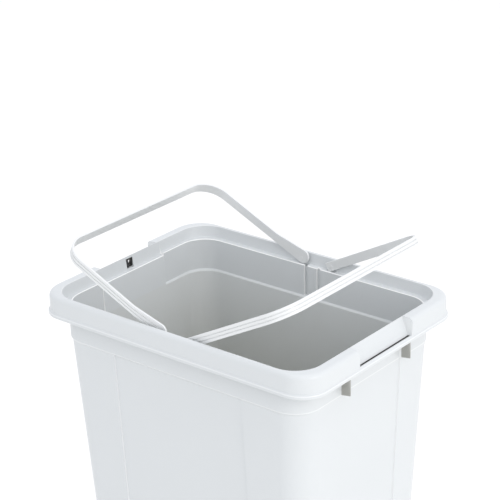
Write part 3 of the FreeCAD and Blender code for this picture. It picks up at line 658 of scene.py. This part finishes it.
base_white = moulded("base_grained_white", (0.635, 0.66, 0.67), grain=1100.0, rough=0.36,
                     scuffs=1.0)
refined("base_ring", "base_ring_shell", 0.6, base_white, "bin")


# ------------------------------------------------------------------ feet and base screws
# Four soft grey feet are pushed into sockets in the base, and four pan-head screws beside them
# hold the base to the bin.

def rubber(name, tint):
    """Moulded elastomer: matt, with a fine pitted skin and dust in the hollows."""
    f = Finish(name)
    place = f.node("ShaderNodeTexCoord", output="Object")
    pits, dust = f.noise(place, 900.0, 3.0, 0.7), f.noise(place, 60.0, 4.0, 0.6)
    colour = f.node("ShaderNodeMix", {"data_type": "RGBA"}, {
        0: dust * dust * 0.5, 6: rgb(tint), 7: rgb(tint, 1.7)}, output=2)
    return f.shade([(pits, 0.00006)], Base_Color=colour, Roughness=0.62 + dust * 0.25)


def plated(name, tint, rough, cloud):
    """Plated steel: bright, with the cloudy grain of the plating and fine drawing marks."""
    f = Finish(name)
    place = f.node("ShaderNodeTexCoord", output="Object")
    drawn_out = f.node("ShaderNodeMapping", None, {"Vector": place, "Scale": (0.05, 1.0, 0.05)})
    clouds, marks = f.noise(place, 160.0, 4.0, 0.6), f.noise(drawn_out, 2600.0, 2.0)
    colour = f.node("ShaderNodeMix", {"data_type": "RGBA"}, {
        0: clouds, 6: rgb(tint), 7: rgb(tint, cloud)}, output=2)
    return f.shade([(marks, 0.000012)], Base_Color=colour, Metallic=1.0,
                   Roughness=rough + clouds * 0.2 + marks * 0.06)


grey_rubber = rubber("grey_rubber", (0.16, 0.16, 0.165))
zinc_steel = plated("zinc_plated_steel", (0.62, 0.62, 0.63), 0.2, 0.72)
refined("base_feet", "rubber_feet", 0.5, grey_rubber, "bin")
refined("base_screws", "base_screw_set", 0.15, zinc_steel, "bin", 2)


# ------------------------------------------------------------------ pedal
# Two bent steel plates turn on an axle across the base, and the moulded pad snaps over their
# front ends. Four soft ribs in the pad keep a shoe from slipping.

pedal_plastic = moulded("pedal_grained_white", (0.6, 0.62, 0.63), grain=800.0, rough=0.4,
                        scuffs=1.6)
blue_steel = plated("blued_spring_steel", (0.3, 0.31, 0.34), 0.3, 0.6)


def nylon(name, tint):
    """Natural nylon: creamy and a little translucent, with a smooth, faintly streaked skin."""
    f = Finish(name)
    place = f.node("ShaderNodeTexCoord", output="Object")
    streak = f.noise(place, 240.0, 3.0)
    colour = f.node("ShaderNodeMix", {"data_type": "RGBA"}, {
        0: streak, 6: rgb(tint), 7: rgb(tint, 0.9)}, output=2)
    return f.shade([(streak, 0.00003)], Base_Color=colour, Roughness=0.3 + streak * 0.15,
                   Subsurface_Weight=0.15)


cream_nylon = nylon("natural_nylon", (0.76, 0.74, 0.66))
refined("lever_plate_left", "left_lever_plate", 0.35, zinc_steel, "pedal", 2)
refined("lever_plate_right", "right_lever_plate", 0.35, zinc_steel, "pedal", 2)
refined("lever_bridge", "pedal_bridge_bar", 0.35, zinc_steel, "pedal", 2)
refined("pedal_pad", "pedal_pad_cap", 0.7, pedal_plastic, "pedal")
refined("pedal_tread", "tread_ribs", 0.3, grey_rubber, "pedal", 2)
refined("pedal_axle", "axle_pin", 0.25, zinc_steel, "bin", 2)
refined("axle_clips", "axle_clip_pair", 0.12, blue_steel, "bin", 2)
refined("axle_spacers", "axle_bushes", 0.3, cream_nylon, "bin", 2)
refined("lever_bumpers", "lever_stops", 0.4, grey_rubber, "bin")


# ------------------------------------------------------------------ push rod
# A steel rod pinned to the lever's tail runs up the back of the bin through nylon guides. Its
# moulded cap comes up in the rear recess, where it pushes the lid's lug.

def acetal(name, tint):
    """Black acetal: dense and smooth, with a soft gloss that wears dull in patches."""
    f = Finish(name)
    place = f.node("ShaderNodeTexCoord", output="Object")
    rub = f.noise(place, 180.0, 4.0, 0.6)
    colour = f.node("ShaderNodeMix", {"data_type": "RGBA"}, {
        0: rub, 6: rgb(tint), 7: rgb(tint, 1.8)}, output=2)
    return f.shade([(rub, 0.00002)], Base_Color=colour, Roughness=0.28 + rub * 0.25)


refined("push_rod", "lift_rod_bar", 0.25, zinc_steel, "lift_rod", 2)
refined("push_rod_head", "lift_rod_cap", 0.25, acetal("black_acetal", (0.03, 0.03, 0.033)),
        "lift_rod", 2)
refined("link_pin", "lever_link_pin", 0.2, zinc_steel, "lift_rod", 2)
refined("rod_guides", "rod_guide_blocks", 0.4, cream_nylon, "bin")


# ------------------------------------------------------------------ rod cover
# A white channel with side flanges hides the rod. Six pan-head screws hold it to the rear panel.

cover_plastic = moulded("cover_satin_white", (0.64, 0.665, 0.675), grain=1300.0, rough=0.32,
                        scuffs=1.0)
refined("rod_cover", "rod_channel", 0.6, cover_plastic, "bin")
refined("cover_screws", "cover_screw_set", 0.15, zinc_steel, "bin", 2)


# ------------------------------------------------------------------ floor, light and camera
# A pale seamless floor in an evenly white room, with a large soft key light on the camera's
# right and a broad light overhead, as in a product studio. Places and sizes are in metres.

floor_reach = 14.0
floor_mesh = bpy.data.meshes.new("floor")
floor_mesh.from_pydata([(-floor_reach, -floor_reach, 0), (floor_reach, -floor_reach, 0),
                        (floor_reach, floor_reach, 0), (-floor_reach, floor_reach, 0)],
                       [], [(0, 1, 2, 3)])
floor = bpy.data.objects.new("floor", floor_mesh)
bpy.context.scene.collection.objects.link(floor)
paper = Finish("pale_paper")
paper_place = paper.node("ShaderNodeTexCoord", output="Object")
paper_grain = paper.noise(paper_place, 300.0, 2.0)
paper_colour = (0.97, 0.965, 0.94, 1.0)
floor_mesh.materials.append(paper.shade([(paper_grain, 0.00005)], Base_Color=paper_colour,
                                        Roughness=0.7 + paper_grain * 0.1))

world = bpy.data.worlds.new("studio")
world.use_nodes = True
room = world.node_tree.nodes["Background"]
room.inputs["Color"].default_value = (0.98, 0.99, 1.03, 1.0)
room.inputs["Strength"].default_value = 1.05
bpy.context.scene.world = world


def soft_light(name, place, aim, size, power, colour):
    """A square area light that faces a point."""
    lamp = bpy.data.lights.new(name, "AREA")
    lamp.energy, lamp.size, lamp.color = power, size, colour
    light = bpy.data.objects.new(name, lamp)
    bpy.context.scene.collection.objects.link(light)
    light.location = place
    light.rotation_euler = (Vector(aim) - Vector(place)).to_track_quat("-Z", "Y").to_euler()


soft_light("key", place=(2.6, -0.5, 1.7), aim=(0, 0, 0.4), size=1.4, power=22.0,
           colour=(1.0, 0.97, 0.94))
soft_light("overhead", place=(0.1, 0.2, 2.8), aim=(0, 0, 0), size=2.0, power=7.0,
           colour=(1.0, 0.98, 0.96))
bpy.context.scene.view_settings.view_transform = "Standard"

azimuth, elevation, roll = (math.radians(a) for a in (39.38, 22.72, -1.54))
aim_point = Vector((-0.07706, 0.10349, top * MM))
camera_distance = 2.29783
focal_length, sensor_width = 129.9, 36.0               # millimetres
back = Vector((math.sin(azimuth) * math.cos(elevation), -math.cos(azimuth) * math.cos(elevation),
               math.sin(elevation)))
level = Vector((math.cos(azimuth), math.sin(azimuth), 0))
upright = back.cross(level)
right = level * math.cos(roll) + upright * math.sin(roll)
up = upright * math.cos(roll) - level * math.sin(roll)
lens = bpy.data.cameras.new("camera")
lens.lens, lens.sensor_width = focal_length, sensor_width
camera = bpy.data.objects.new("camera", lens)
bpy.context.scene.collection.objects.link(camera)
turn = Matrix((right, up, back)).transposed().to_4x4()
camera.matrix_world = Matrix.Translation(aim_point + back * camera_distance) @ turn
bpy.context.scene.camera = camera
